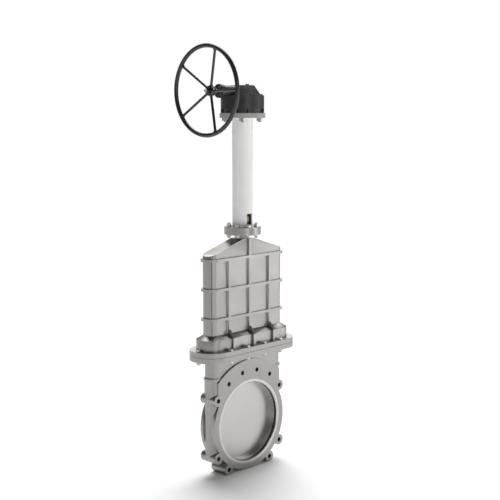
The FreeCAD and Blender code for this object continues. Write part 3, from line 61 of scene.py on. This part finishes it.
class Shader:
    """One procedural material, built node by node round a Principled shader."""

    def __init__(self, name):
        self.material = bpy.data.materials.new(name)
        self.material.use_nodes = True
        self.tree = self.material.node_tree
        self.surface = self.tree.nodes["Principled BSDF"]
        self.place = self.node("ShaderNodeTexCoord").outputs["Object"]
        self.normal = None

    def node(self, kind, **settings):
        made = self.tree.nodes.new(kind)
        for key, setting in settings.items():
            setattr(made, key, setting)
        return made

    def link(self, source, target):
        self.tree.links.new(source, target)

    def stretched(self, scale, shift=(0, 0, 0)):
        """Object coordinates moved by shift and multiplied by scale."""
        mapping = self.node("ShaderNodeMapping")
        mapping.inputs["Location"].default_value = [-s * k for s, k in zip(shift, scale)]
        mapping.inputs["Scale"].default_value = scale
        self.link(self.place, mapping.inputs["Vector"])
        return mapping.outputs["Vector"]

    def noise(self, scale, detail=3.0, roughness=0.55):
        made = self.node("ShaderNodeTexNoise")
        made.inputs["Scale"].default_value = scale
        made.inputs["Detail"].default_value = detail
        made.inputs["Roughness"].default_value = roughness
        self.link(self.place, made.inputs["Vector"])
        return made.outputs["Fac"]

    def rings(self, axis, spacing, centre):
        """Turned marks round an axis, spacing apart."""
        made = self.node("ShaderNodeTexWave", wave_type="RINGS", rings_direction=axis, wave_profile="SIN")
        made.inputs["Scale"].default_value = math.pi / 10 / spacing
        made.inputs["Distortion"].default_value = 1.5
        made.inputs["Detail"].default_value = 1.0
        self.link(self.stretched((1, 1, 1), centre), made.inputs["Vector"])
        return made.outputs["Fac"]

    def ranged(self, source, low, high, floor=0.3, ceiling=0.7):
        """source between floor and ceiling, spread out to run from low to high."""
        made = self.node("ShaderNodeMapRange")
        made.inputs["From Min"].default_value = floor
        made.inputs["From Max"].default_value = ceiling
        made.inputs["To Min"].default_value = low
        made.inputs["To Max"].default_value = high
        self.link(source, made.inputs["Value"])
        return made.outputs["Result"]

    def blended(self, factor, first, second):
        """Colour first where factor is 0 and second where it is 1; either may be a socket."""
        made = self.node("ShaderNodeMix", data_type="RGBA")
        self.link(factor, made.inputs["Factor"])
        for colour, socket in ((first, made.inputs[6]), (second, made.inputs[7])):
            if isinstance(colour, bpy.types.NodeSocket):
                self.link(colour, socket)
            else:
                socket.default_value = (*colour, 1.0)
        return made.outputs[2]

    def edges(self, radius):
        """1 on sharp outer and inner edges, 0 on flat ground."""
        bevel = self.node("ShaderNodeBevel", samples=4)
        bevel.inputs["Radius"].default_value = radius
        geometry = self.node("ShaderNodeNewGeometry")
        dot = self.node("ShaderNodeVectorMath", operation="DOT_PRODUCT")
        self.link(bevel.outputs["Normal"], dot.inputs[0])
        self.link(geometry.outputs["Normal"], dot.inputs[1])
        return self.ranged(dot.outputs["Value"], 1.0, 0.0, 0.80, 0.985)

    def product(self, first, second):
        made = self.node("ShaderNodeMath", operation="MULTIPLY")
        self.link(first, made.inputs[0])
        self.link(second, made.inputs[1])
        return made.outputs["Value"]

    def relief(self, height, distance, strength):
        """Adds a bump layer on top of the ones before it."""
        bump = self.node("ShaderNodeBump")
        bump.inputs["Strength"].default_value = strength
        bump.inputs["Distance"].default_value = distance
        self.link(height, bump.inputs["Height"])
        if self.normal:
            self.link(self.normal, bump.inputs["Normal"])
        self.normal = bump.outputs["Normal"]

    def finish(self, colour, rough, metallic=0.0, **sockets):
        surface = self.surface
        self.link(colour, surface.inputs["Base Color"])
        self.link(rough, surface.inputs["Roughness"])
        surface.inputs["Metallic"].default_value = metallic
        if self.normal:
            self.link(self.normal, surface.inputs["Normal"])
        for name, setting in sockets.items():
            surface.inputs[name.replace("_", " ")].default_value = setting
        return self.material


def tinted(colour, factor):
    return tuple(min(1.0, part * factor) for part in colour)


GRAIN_DEPTH = 0.04 * MM
METAL_EDGE = 1.6 * MM
PAINT_EDGE = 1.2 * MM
ORANGE_PEEL = 0.05 * MM


def metal(name, colour, rough, spread=0.06, grain=900, blotch=14, edge_highlight=0.25, cast=0.0, turned=None):
    """Bare metal with soft blotches, fine grain and a painted highlight that lightens its edges in patches.

    cast adds the slow waves of a casting's skin; turned is (axis, spacing, centre) of lathe marks.
    """
    made = Shader(name)
    clouds = made.noise(blotch, 5.0, 0.6)
    fine = made.noise(grain, 2.0, 0.5)
    body = made.blended(made.ranged(clouds, 0, 1), tinted(colour, 1 - spread), tinted(colour, 1 + spread))
    specks = made.blended(made.ranged(fine, 0, 0.5, 0.35, 0.75), body, tinted(colour, 1 - 2.2 * spread))
    # painted highlight: sharp edges take a lighter colour in patches
    edge_highlight_patches = made.ranged(made.noise(60, 3.0), 0.3 * edge_highlight, edge_highlight, 0.4, 0.6)
    edge = made.product(made.edges(METAL_EDGE), edge_highlight_patches)
    shade = made.blended(edge, specks, tinted(colour, 1.35))
    if cast:
        made.relief(made.noise(70, 3.0, 0.5), 0.0006, cast)
        made.relief(made.noise(330, 3.0, 0.6), 0.00022, cast)
    if turned:
        made.relief(made.rings(*turned), 0.00005, 0.5)
    made.relief(fine, GRAIN_DEPTH, 0.6)
    return made.finish(shade, made.ranged(clouds, rough - 0.07, rough + 0.07), 1.0)


def paint(name, colour, rough, spread, edge_highlight_colour, edge_highlight=0.1, skin=0.0, coat=0.0):
    """Paint with a faint orange peel, uneven gloss and a painted highlight on its edges; skin adds the
    casting under it.
    """
    made = Shader(name)
    clouds = made.noise(11, 4.0, 0.6)
    dust = made.noise(160, 4.0, 0.65)
    body = made.blended(made.ranged(clouds, 0, 1), tinted(colour, 1 - spread), tinted(colour, 1 + spread))
    dusty = made.blended(made.ranged(dust, 0, 0.25, 0.55, 0.8), body, tinted(colour, 1 + 3 * spread))
    # painted highlight: the edges take a lighter colour in patches
    edge_highlight_patches = made.ranged(made.noise(90, 3.0), 0.0, edge_highlight, 0.45, 0.65)
    edge = made.product(made.edges(PAINT_EDGE), edge_highlight_patches)
    shade = made.blended(edge, dusty, edge_highlight_colour)
    if skin:
        made.relief(made.noise(120, 3.0, 0.6), 0.0004, skin)
    made.relief(made.noise(420, 2.0, 0.5), ORANGE_PEEL, 0.6)
    return made.finish(shade, made.ranged(dust, rough - 0.06, rough + 0.08), 0.0,
                       Coat_Weight=coat, Coat_Roughness=0.12)


def soft(name, colour, rough, spread=0.12):
    """Rubber, fibre or plastic: a dull skin with fine grain."""
    made = Shader(name)
    clouds = made.noise(35, 4.0, 0.6)
    fine = made.noise(500, 3.0, 0.6)
    body = made.blended(made.ranged(clouds, 0, 1), tinted(colour, 1 - spread), tinted(colour, 1 + spread))
    shade = made.blended(made.ranged(fine, 0, 0.4, 0.5, 0.75), body, tinted(colour, 1 + 2 * spread))
    made.relief(fine, 0.1 * MM, 0.7)
    return made.finish(shade, made.ranged(fine, rough - 0.08, rough + 0.08))


def braided(name, colour):
    """Square braid of packing cord."""
    made = Shader(name)
    weave = made.node("ShaderNodeTexWave", wave_type="BANDS", bands_direction="DIAGONAL")
    weave.inputs["Scale"].default_value = 110
    weave.inputs["Distortion"].default_value = 3.0
    made.link(made.place, weave.inputs["Vector"])
    strands = weave.outputs["Fac"]
    shade = made.blended(strands, tinted(colour, 0.7), tinted(colour, 1.08))
    made.relief(strands, 0.0005, 0.8)
    return made.finish(shade, made.ranged(strands, 0.7, 0.9), 0.0, Sheen_Weight=0.3)


ring_low, ring_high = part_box("front_seat_ring")
BORE = (ring_low + ring_high) / 2
BORE.y = 0
STEM = Vector((0, 0, 0))

MATERIALS = {
    "cast_stainless": metal("cast_stainless", (0.335, 0.325, 0.312), 0.36, cast=0.5, edge_highlight=0.5),
    "machined_stainless": metal("machined_stainless", (0.55, 0.535, 0.515), 0.26, grain=1500,
                                turned=("Y", 0.9 * MM, BORE)),
    "gate_steel": metal("gate_steel", (0.50, 0.49, 0.475), 0.34, grain=1300, blotch=7),
    "black_rubber": soft("black_rubber", (0.016, 0.016, 0.018), 0.55),
    "gasket_fibre": soft("gasket_fibre", (0.09, 0.09, 0.1), 0.8, spread=0.2),
    "slide_plastic": soft("slide_plastic", (0.83, 0.83, 0.79), 0.45, spread=0.03),
    "packing_fibre": braided("packing_fibre", (0.78, 0.76, 0.70)),
    "fastener_steel": metal("fastener_steel", (0.50, 0.49, 0.475), 0.3, blotch=60, grain=1600),
    "pillar_paint": paint("pillar_paint", (0.86, 0.86, 0.85), 0.33, spread=0.02,
                          edge_highlight_colour=(0.6, 0.6, 0.6)),
    "plate_paint": paint("plate_paint", (0.34, 0.34, 0.335), 0.42, spread=0.03,
                         edge_highlight_colour=(0.4, 0.4, 0.4)),
    "operator_paint": paint("operator_paint", (0.013, 0.013, 0.014), 0.42, spread=0.2, skin=0.6,
                            edge_highlight_colour=(0.13, 0.13, 0.13), edge_highlight=0.5),
    "wheel_paint": paint("wheel_paint", (0.008, 0.008, 0.009), 0.34, spread=0.15, skin=0.25,
                         edge_highlight_colour=(0.06, 0.06, 0.06), coat=0.25),
    "black_screws": metal("black_screws", (0.09, 0.09, 0.092), 0.38, spread=0.15, blotch=90, grain=1600),
    "bronze": metal("bronze", (0.26, 0.20, 0.13), 0.4, spread=0.08, turned=("Z", 0.8 * MM, STEM)),
    "gear_steel": metal("gear_steel", (0.42, 0.42, 0.43), 0.3, spread=0.08, blotch=30),
    "bearing_steel": metal("bearing_steel", (0.75, 0.75, 0.77), 0.14, spread=0.03, blotch=50),
}

for node, owner in NODES.items():
    for place in owner.material_slots:
        place.material = MATERIALS[SLOT_OF[node]]

# ---------------------------------------------------------------- pieces


def publish(name, mesh_builder, slot, body, replaced=(), crease=35.0):
    """Turns a bmesh into a piece that rides on body and takes its finish from slot."""
    mesh = bpy.data.meshes.new(name)
    mesh_builder.normal_update()
    mesh_builder.to_mesh(mesh)
    mesh_builder.free()
    mesh.materials.clear()
    mesh.materials.append(MATERIALS[slot])
    mesh.shade_smooth()
    mesh.set_sharp_from_angle(angle=math.radians(crease))
    piece = bpy.data.objects.new(name, mesh)
    scene.collection.objects.link(piece)
    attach(piece, body)
    if replaced:
        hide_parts(*replaced)
    return piece


EDGE_SHARE = 0.35
ROUNDED_FROM = math.radians(26.0)
WELD_DISTANCE = 0.01 * MM


def softened(node, width, strongest=None):
    """A copy of a CAD node with its edges rounded, shown in its place.

    strongest(point) is True where an edge takes the whole width; the others take EDGE_SHARE of it.
    """
    copy = bmesh.new()
    copy.from_mesh(NODES[node].data)
    bmesh.ops.remove_doubles(copy, verts=copy.verts, dist=WELD_DISTANCE)
    bmesh.ops.dissolve_limit(copy, angle_limit=math.radians(0.6), verts=copy.verts, edges=copy.edges)
    weight = copy.edges.layers.float.new("bevel_weight_edge")
    for edge in copy.edges:
        if edge.is_manifold and edge.calc_face_angle() > ROUNDED_FROM:
            middle = (edge.verts[0].co + edge.verts[1].co) / 2
            edge[weight] = 1.0 if strongest is None or strongest(middle) else EDGE_SHARE
    piece = publish(f"{node}_soft", copy, SLOT_OF[node], BODY_OF[node], (node,), 40.0)
    rounding = piece.modifiers.new("edges", "BEVEL")
    rounding.width = width
    rounding.segments = 3
    rounding.limit_method = "WEIGHT"
    rounding.harden_normals = True
    rounding.use_clamp_overlap = True


BEAD_REACH = 8 * MM
BEAD_ROUNDING = 4.2 * MM
BEAD_HEIGHTS = [BORE.z + height * MM for height in (480, 607, 734)]


def on_bead(point):
    """The horizontal ribs of the bonnet are rounder than its other edges."""
    return any(abs(point.z - height) < BEAD_REACH for height in BEAD_HEIGHTS)


EDGE_WIDTHS = {
    "body_casting": 1.5 * MM,
    "gear_housing": 1.5 * MM,
    "gear_cover": 1.2 * MM,
    "shaft_end_cap": 0.8 * MM,
    "pillar_foot_flange": 1.0 * MM,
    "pillar_head_plate": 1.2 * MM,
    "pillar_tube": 0.8 * MM,
    "handwheel_hub": 1.0 * MM,
    "handwheel_washer": 0.4 * MM,
    "oil_plug": 0.6 * MM,
    "gland_follower": 0.6 * MM,
    "gate_clevis": 1.0 * MM,
    "travelling_nut": 0.8 * MM,
}

softened("bonnet_casting", BEAD_ROUNDING, on_bead)
for node, width in EDGE_WIDTHS.items():
    softened(node, width)

# ---------------------------------------------------------------- fasteners

ROUND_STEPS = 48
BAR_STEPS = 24
ROWS_PER_PITCH = 4
PITCHES = {4: 0.7, 5: 0.8, 6: 1.0, 12: 1.75, 16: 2.0}
HALF_FLATS = 0.775  # of the thread size, for nuts and hexagon heads
CREST = 0.735  # of the thread size, where the chamfer meets the flat end
CHAMFER_SLOPE = math.tan(math.radians(27))


def solids_of(node):
    """Corner points of each separate solid in a CAD node."""
    copy = bmesh.new()
    copy.from_mesh(NODES[node].data)
    bmesh.ops.remove_doubles(copy, verts=copy.verts, dist=WELD_DISTANCE)
    unseen, found = set(copy.verts), []
    while unseen:
        first = min(unseen, key=lambda vert: vert.index)
        group, edge_of_group = {first}, [first]
        while edge_of_group:
            for edge in edge_of_group.pop().link_edges:
                for vert in edge.verts:
                    if vert not in group:
                        group.add(vert)
                        edge_of_group.append(vert)
        unseen -= group
        found.append([vert.co.copy() for vert in group])
    copy.free()
    return found


def seated(points, axis):
    """(matrix, length): local Z runs along axis from the solid's lowest end, through its middle."""
    turn = axis.to_track_quat("Z", "Y").to_matrix()
    local = [turn.inverted() @ point for point in points]
    low = Vector([min(point[k] for point in local) for k in range(3)])
    high = Vector([max(point[k] for point in local) for k in range(3)])
    middle = (low + high) / 2
    foot = turn @ Vector((middle.x, middle.y, low.z))
    return Matrix.Translation(foot) @ turn.to_4x4(), high.z - low.z


def shell(builder, matrix, rings, closed=False, steps=ROUND_STEPS):
    """Skins rings given as (radius, height), either of them a number or a function of the angle."""
    loops = []
    for radius, height in rings:
        loop = []
        for step in range(steps):
            angle = math.tau * step / steps
            across = radius(angle) if callable(radius) else radius
            along = height(angle) if callable(height) else height
            corner = Vector((across * math.cos(angle), across * math.sin(angle), along))
            loop.append(builder.verts.new(matrix @ corner))
        loops.append(loop)
    pairs = list(zip(loops, loops[1:]))
    if closed:
        pairs.append((loops[-1], loops[0]))
    else:
        builder.faces.new(loops[0][::-1])
        builder.faces.new(loops[-1])
    for lower, upper in pairs:
        for step in range(steps):
            after = (step + 1) % steps
            builder.faces.new((lower[step], lower[after], upper[after], upper[step]))


def hexagonal(size):
    """Radius of a hexagon for this thread size, as a function of the angle, with a corner at 0."""
    apothem = HALF_FLATS * size * MM
    return lambda angle: apothem / math.cos(angle % (math.pi / 3) - math.pi / 6)


def dropped(size, height, sign):
    """Height of a turned chamfer where it meets the flats."""
    crest, outline = CREST * size * MM, hexagonal(size)
    return lambda angle: height - sign * (outline(angle) - crest) * CHAMFER_SLOPE


def hex_head(builder, matrix, size, low, high):
    """A hexagon head with a shallow dish in its end."""
    crest, washer_face, dish = CREST * size * MM, 0.02 * size * MM, 0.03 * size * MM
    shell(builder, matrix, [
        (crest, low), (hexagonal(size), low + washer_face), (hexagonal(size), dropped(size, high, 1)),
        (crest, high), (0.6 * crest, high), (0.55 * crest, high - dish),
    ])


def nut(builder, matrix, size, tall):
    crest, bore, lead = CREST * size * MM, 0.5 * size * MM, 0.06 * size * MM
    shell(builder, matrix, [
        (bore, lead), (bore + lead, 0), (crest, 0), (hexagonal(size), dropped(size, 0, -1)),
        (hexagonal(size), dropped(size, tall, 1)), (crest, tall), (bore + lead, tall), (bore, tall - lead),
    ], closed=True)


def threaded(builder, matrix, size, low, high):
    """A bar with a helical thread from low to high and pointed ends."""
    radius, pitch = size / 2 * MM, PITCHES[size] * MM
    depth = 0.55 * pitch
    tip = radius - 1.4 * depth

    def wave(height):
        def at(angle):
            turn = (height / pitch - angle / math.tau) % 1.0
            return radius - depth * abs(2 * turn - 1)
        return at

    rows = max(2, round((high - low) / pitch * ROWS_PER_PITCH))
    heights = [low + (high - low) * row / rows for row in range(1, rows)]
    rings = [(tip, low)] + [(wave(height), height) for height in heights] + [(tip, high)]
    shell(builder, matrix, rings, steps=BAR_STEPS)


def cap_head(builder, matrix, size, low, high):
    """A round head with a hexagon socket."""
    radius, lead = 0.75 * size * MM, 0.08 * size * MM
    socket, depth = 0.4 * size * MM, 0.5 * size * MM

    def key(angle):
        return socket / math.cos(angle % (math.pi / 3) - math.pi / 6)

    shell(builder, matrix, [
        (radius - lead, low), (radius, low + lead), (radius, high - lead), (radius - lead, high),
        (lambda angle: key(angle) + 0.3 * lead, high), (key, high - lead), (key, high - depth),
    ])


def fasteners(node, size, make, axis=Vector((0, 0, 1))):
    """Replaces every solid of a fastener node by make(builder, matrix, size, length)."""
    builder = bmesh.new()
    for points in solids_of(node):
        matrix, length = seated(points, axis)
        make(builder, matrix, size, length)
    bmesh.ops.recalc_face_normals(builder, faces=builder.faces)
    publish(f"{node}_cut", builder, SLOT_OF[node], BODY_OF[node], (node,), 32.0)


def hex_bolt(builder, matrix, size, length):
    """Head at the far end of local Z and the thread at its start."""
    head, shank = 0.65 * size * MM, size / 2 * MM
    thread = min(2.2 * size * MM, 0.6 * (length - head))
    hex_head(builder, matrix, size, length - head, length)
    threaded(builder, matrix, size, 0, thread)
    shell(builder, matrix, [(shank, thread), (shank, length - head)], steps=BAR_STEPS)


def cap_screw(builder, matrix, size, length):
    head = size * MM
    cap_head(builder, matrix, size, length - head, length)
    threaded(builder, matrix, size, 0, length - head)


def stud(builder, matrix, size, length):
    """Threaded at both ends, with a plain waist between them."""
    end, waist = 1.3 * size * MM, 0.46 * size * MM
    threaded(builder, matrix, size, 0, end)
    shell(builder, matrix, [(waist, end), (waist, length - end)], steps=BAR_STEPS)
    threaded(builder, matrix, size, length - end, length)


TO_WHEEL = Vector((-1, 0, 0))
fasteners("bonnet_bolts", 12, hex_bolt)
fasteners("bonnet_nuts", 12, nut)
fasteners("pillar_bolts", 12, stud)
fasteners("pillar_nuts", 12, nut)
fasteners("operator_bolts", 16, stud)
fasteners("operator_nuts", 16, nut)
fasteners("cover_screws", 5, cap_screw)
fasteners("end_cap_screws", 4, cap_screw, TO_WHEEL)
fasteners("handwheel_nut", 12, nut, TO_WHEEL)
fasteners("gland_studs", 6, stud)
fasteners("gland_nuts", 6, nut)
fasteners("clevis_bolts", 12, hex_bolt, Vector((0, -1, 0)))
fasteners("clevis_nuts", 12, nut, Vector((0, 1, 0)))

# ---------------------------------------------------------------- handwheel


RIM_STEPS, RIM_SIDES, SPOKE_SIDES = 160, 24, 20
SPOKE_RADIUS, SPOKE_SWELL, SPOKE_FILLET = 5.5 * MM, 3.2 * MM, 9 * MM


def tube_along(builder, start, end, profile):
    """A round bar from start to end; profile is a list of (share of the length, radius)."""
    way = end - start
    matrix = Matrix.Translation(start) @ way.to_track_quat("Z", "Y").to_matrix().to_4x4()
    shell(builder, matrix, [(radius, share * way.length) for share, radius in profile], steps=SPOKE_SIDES)


def handwheel():
    """A smooth rim and spokes that swell where they meet the rim and the hub."""
    low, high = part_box("handwheel_rim")
    centre, bar = (low + high) / 2, (high.x - low.x) / 2
    radius = (high.z - low.z) / 2 - bar
    rim = bmesh.new()
    loops = []
    for step in range(RIM_STEPS):
        angle = math.tau * step / RIM_STEPS
        out = Vector((0, math.cos(angle), math.sin(angle)))
        loop = []
        for part in range(RIM_SIDES):
            turn = math.tau * part / RIM_SIDES
            offset = out * (radius + bar * math.cos(turn)) + Vector((bar * math.sin(turn), 0, 0))
            loop.append(rim.verts.new(centre + offset))
        loops.append(loop)
    for lower, upper in zip(loops, loops[1:] + loops[:1]):
        for part in range(RIM_SIDES):
            after = (part + 1) % RIM_SIDES
            rim.faces.new((lower[part], lower[after], upper[after], upper[part]))
    bmesh.ops.recalc_face_normals(rim, faces=rim.faces)
    publish("handwheel_rim_smooth", rim, "wheel_paint", "handwheel", ("handwheel_rim",), 60.0)

    hub_low, hub_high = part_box("handwheel_hub")
    hub, hub_radius = (hub_low + hub_high) / 2, (hub_high.z - hub_low.z) / 2
    spokes = bmesh.new()
    for points in solids_of("handwheel_spokes"):
        middle = sum(points, Vector()) / len(points)
        out = Vector((0, middle.y - hub.y, middle.z - hub.z)).normalized()
        end = centre + out * radius
        start = hub + (end - hub) * 0.6 * hub_radius / (end - hub).length
        length = (end - start).length
        root, tip = (0.4 * hub_radius) / length, 1 - bar / length
        fillet, widest = SPOKE_FILLET / length, SPOKE_RADIUS + SPOKE_SWELL
        taper = [(share, SPOKE_RADIUS + SPOKE_SWELL * (1 - share) ** 2) for share in (0.25, 0.5, 0.75, 1.0)]
        profile = [(0.0, widest), (root, widest)]
        profile += [(root + fillet * share, thick) for share, thick in taper]
        profile += [(tip - fillet * share, thick) for share, thick in reversed(taper)]
        profile += [(tip, widest), (1.0, SPOKE_RADIUS)]
        tube_along(spokes, start, end, profile)
    bmesh.ops.recalc_face_normals(spokes, faces=spokes.faces)
    publish("handwheel_spokes_flared", spokes, "wheel_paint", "handwheel", ("handwheel_spokes",), 60.0)


handwheel()

# ---------------------------------------------------------------- welds


WELD_LEG = 4.5 * MM
WELD_RIPPLES, WELD_STEPS = 110, 880
RIPPLE_HEIGHT, WELD_UNEVENNESS = 0.07, 0.08
# across and along the pillar, in legs
WELD_SECTION = [
    (-0.3, 1.0), (0.12, 0.95), (0.45, 0.66), (0.66, 0.45), (0.95, 0.12), (1.0, -0.3), (-0.3, -0.3),
]


def weld(name, height, direction):
    """A rippled fillet weld where the pillar meets a plate; direction is the side that the pillar is on."""
    low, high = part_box("pillar_tube")
    radius = (high.x - low.x) / 2
    bead = bmesh.new()
    loops = []
    for step in range(WELD_STEPS):
        angle = math.tau * step / WELD_STEPS
        drift = noise.noise(Vector((4 * angle, 0, 0)))
        wave = 1 + RIPPLE_HEIGHT * math.cos(angle * WELD_RIPPLES) + WELD_UNEVENNESS * drift
        loop = []
        for across, along in WELD_SECTION:
            out = radius + WELD_LEG * across * (wave if across > 0 else 1)
            up = height + direction * WELD_LEG * along * (wave if along > 0 else 1)
            loop.append(bead.verts.new((out * math.cos(angle), out * math.sin(angle), up)))
        loops.append(loop)
    count = len(WELD_SECTION)
    for lower, upper in zip(loops, loops[1:] + loops[:1]):
        for part in range(count):
            after = (part + 1) % count
            bead.faces.new((lower[part], lower[after], upper[after], upper[part]))
    bmesh.ops.recalc_face_normals(bead, faces=bead.faces)
    publish(name, bead, "pillar_paint", "frame", (), 50.0)


weld("pillar_foot_weld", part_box("pillar_foot_flange")[1].z, 1)
weld("pillar_head_weld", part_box("pillar_head_plate")[0].z, -1)

# ---------------------------------------------------------------- stage


def area_light(name, place, target, size, power):
    lamp = bpy.data.lights.new(name, "AREA")
    lamp.shape = "RECTANGLE"
    lamp.size, lamp.size_y = size
    lamp.energy = power
    holder = bpy.data.objects.new(name, lamp)
    scene.collection.objects.link(holder)
    holder.location = place
    holder.rotation_euler = (Vector(target) - Vector(place)).to_track_quat("-Z", "Y").to_euler()


ROOM_LIGHT = 0.2
OVERHEAD_FROM = (0.394, 0.308, 0.866)
OVERHEAD_STRENGTH = 3.5
OVERHEAD_SPREAD = math.radians(50)
LIT_POINT = (0, 0, 0.8)
AREA_LIGHTS = {  # place, size and power
    "front_right": ((2.9, -2.7, 1.2), (2.4, 2.4), 26),
    "front_left": ((-1.0, -4.2, 1.9), (1.0, 2.6), 26),
    "back_right": ((3.4, 3.2, 1.3), (3.0, 1.8), 30),
}
FLOOR_REACH = 30.0
FLOOR_COLOUR = (0.92, 0.92, 0.92, 1)


def studio():
    """Pale floor, white room and soft lights."""
    floor_mesh = bpy.data.meshes.new("floor")
    corners = [(FLOOR_REACH * x, FLOOR_REACH * y, 0) for x, y in ((-1, -1), (1, -1), (1, 1), (-1, 1))]
    floor_mesh.from_pydata(corners, [], [(0, 1, 2, 3)])
    floor = bpy.data.objects.new("floor", floor_mesh)
    scene.collection.objects.link(floor)
    cover = bpy.data.materials.new("floor")
    cover.use_nodes = True
    surface = cover.node_tree.nodes["Principled BSDF"]
    surface.inputs["Base Color"].default_value = FLOOR_COLOUR
    surface.inputs["Roughness"].default_value = 0.9
    surface.inputs["Specular IOR Level"].default_value = 0.1
    floor_mesh.materials.append(cover)

    room = bpy.data.worlds.new("room")
    scene.world = room
    room.use_nodes = True
    tree = room.node_tree
    tree.nodes.clear()
    out = tree.nodes.new("ShaderNodeOutputWorld")
    shown = tree.nodes.new("ShaderNodeBackground")
    shown.inputs["Color"].default_value = (1, 1, 1, 1)
    lit = tree.nodes.new("ShaderNodeBackground")
    lit.inputs["Strength"].default_value = ROOM_LIGHT
    path = tree.nodes.new("ShaderNodeLightPath")
    either = tree.nodes.new("ShaderNodeMixShader")
    tree.links.new(path.outputs["Is Camera Ray"], either.inputs["Fac"])
    tree.links.new(lit.outputs["Background"], either.inputs[1])
    tree.links.new(shown.outputs["Background"], either.inputs[2])
    tree.links.new(either.outputs["Shader"], out.inputs["Surface"])

    overhead = bpy.data.lights.new("overhead", "SUN")
    overhead.energy = OVERHEAD_STRENGTH
    overhead.angle = OVERHEAD_SPREAD
    holder = bpy.data.objects.new("overhead", overhead)
    scene.collection.objects.link(holder)
    holder.rotation_euler = (-Vector(OVERHEAD_FROM)).to_track_quat("-Z", "Y").to_euler()
    for name, (place, size, power) in AREA_LIGHTS.items():
        area_light(name, place, LIT_POINT, size, power)


FOCAL_LENGTH = 74.456
SENSOR_WIDTH = 36
CAMERA_PLACE = (-3.1741, -3.1382, 1.5653)
CAMERA_TURN = (math.radians(82.45), 0, math.radians(-45.7415))


def camera():
    lens = bpy.data.cameras.new("camera")
    lens.lens = FOCAL_LENGTH
    lens.sensor_width = SENSOR_WIDTH
    holder = bpy.data.objects.new("camera", lens)
    scene.collection.objects.link(holder)
    holder.location = CAMERA_PLACE
    holder.rotation_euler = CAMERA_TURN
    scene.camera = holder


studio()
camera()
scene.view_settings.view_transform = "Standard"
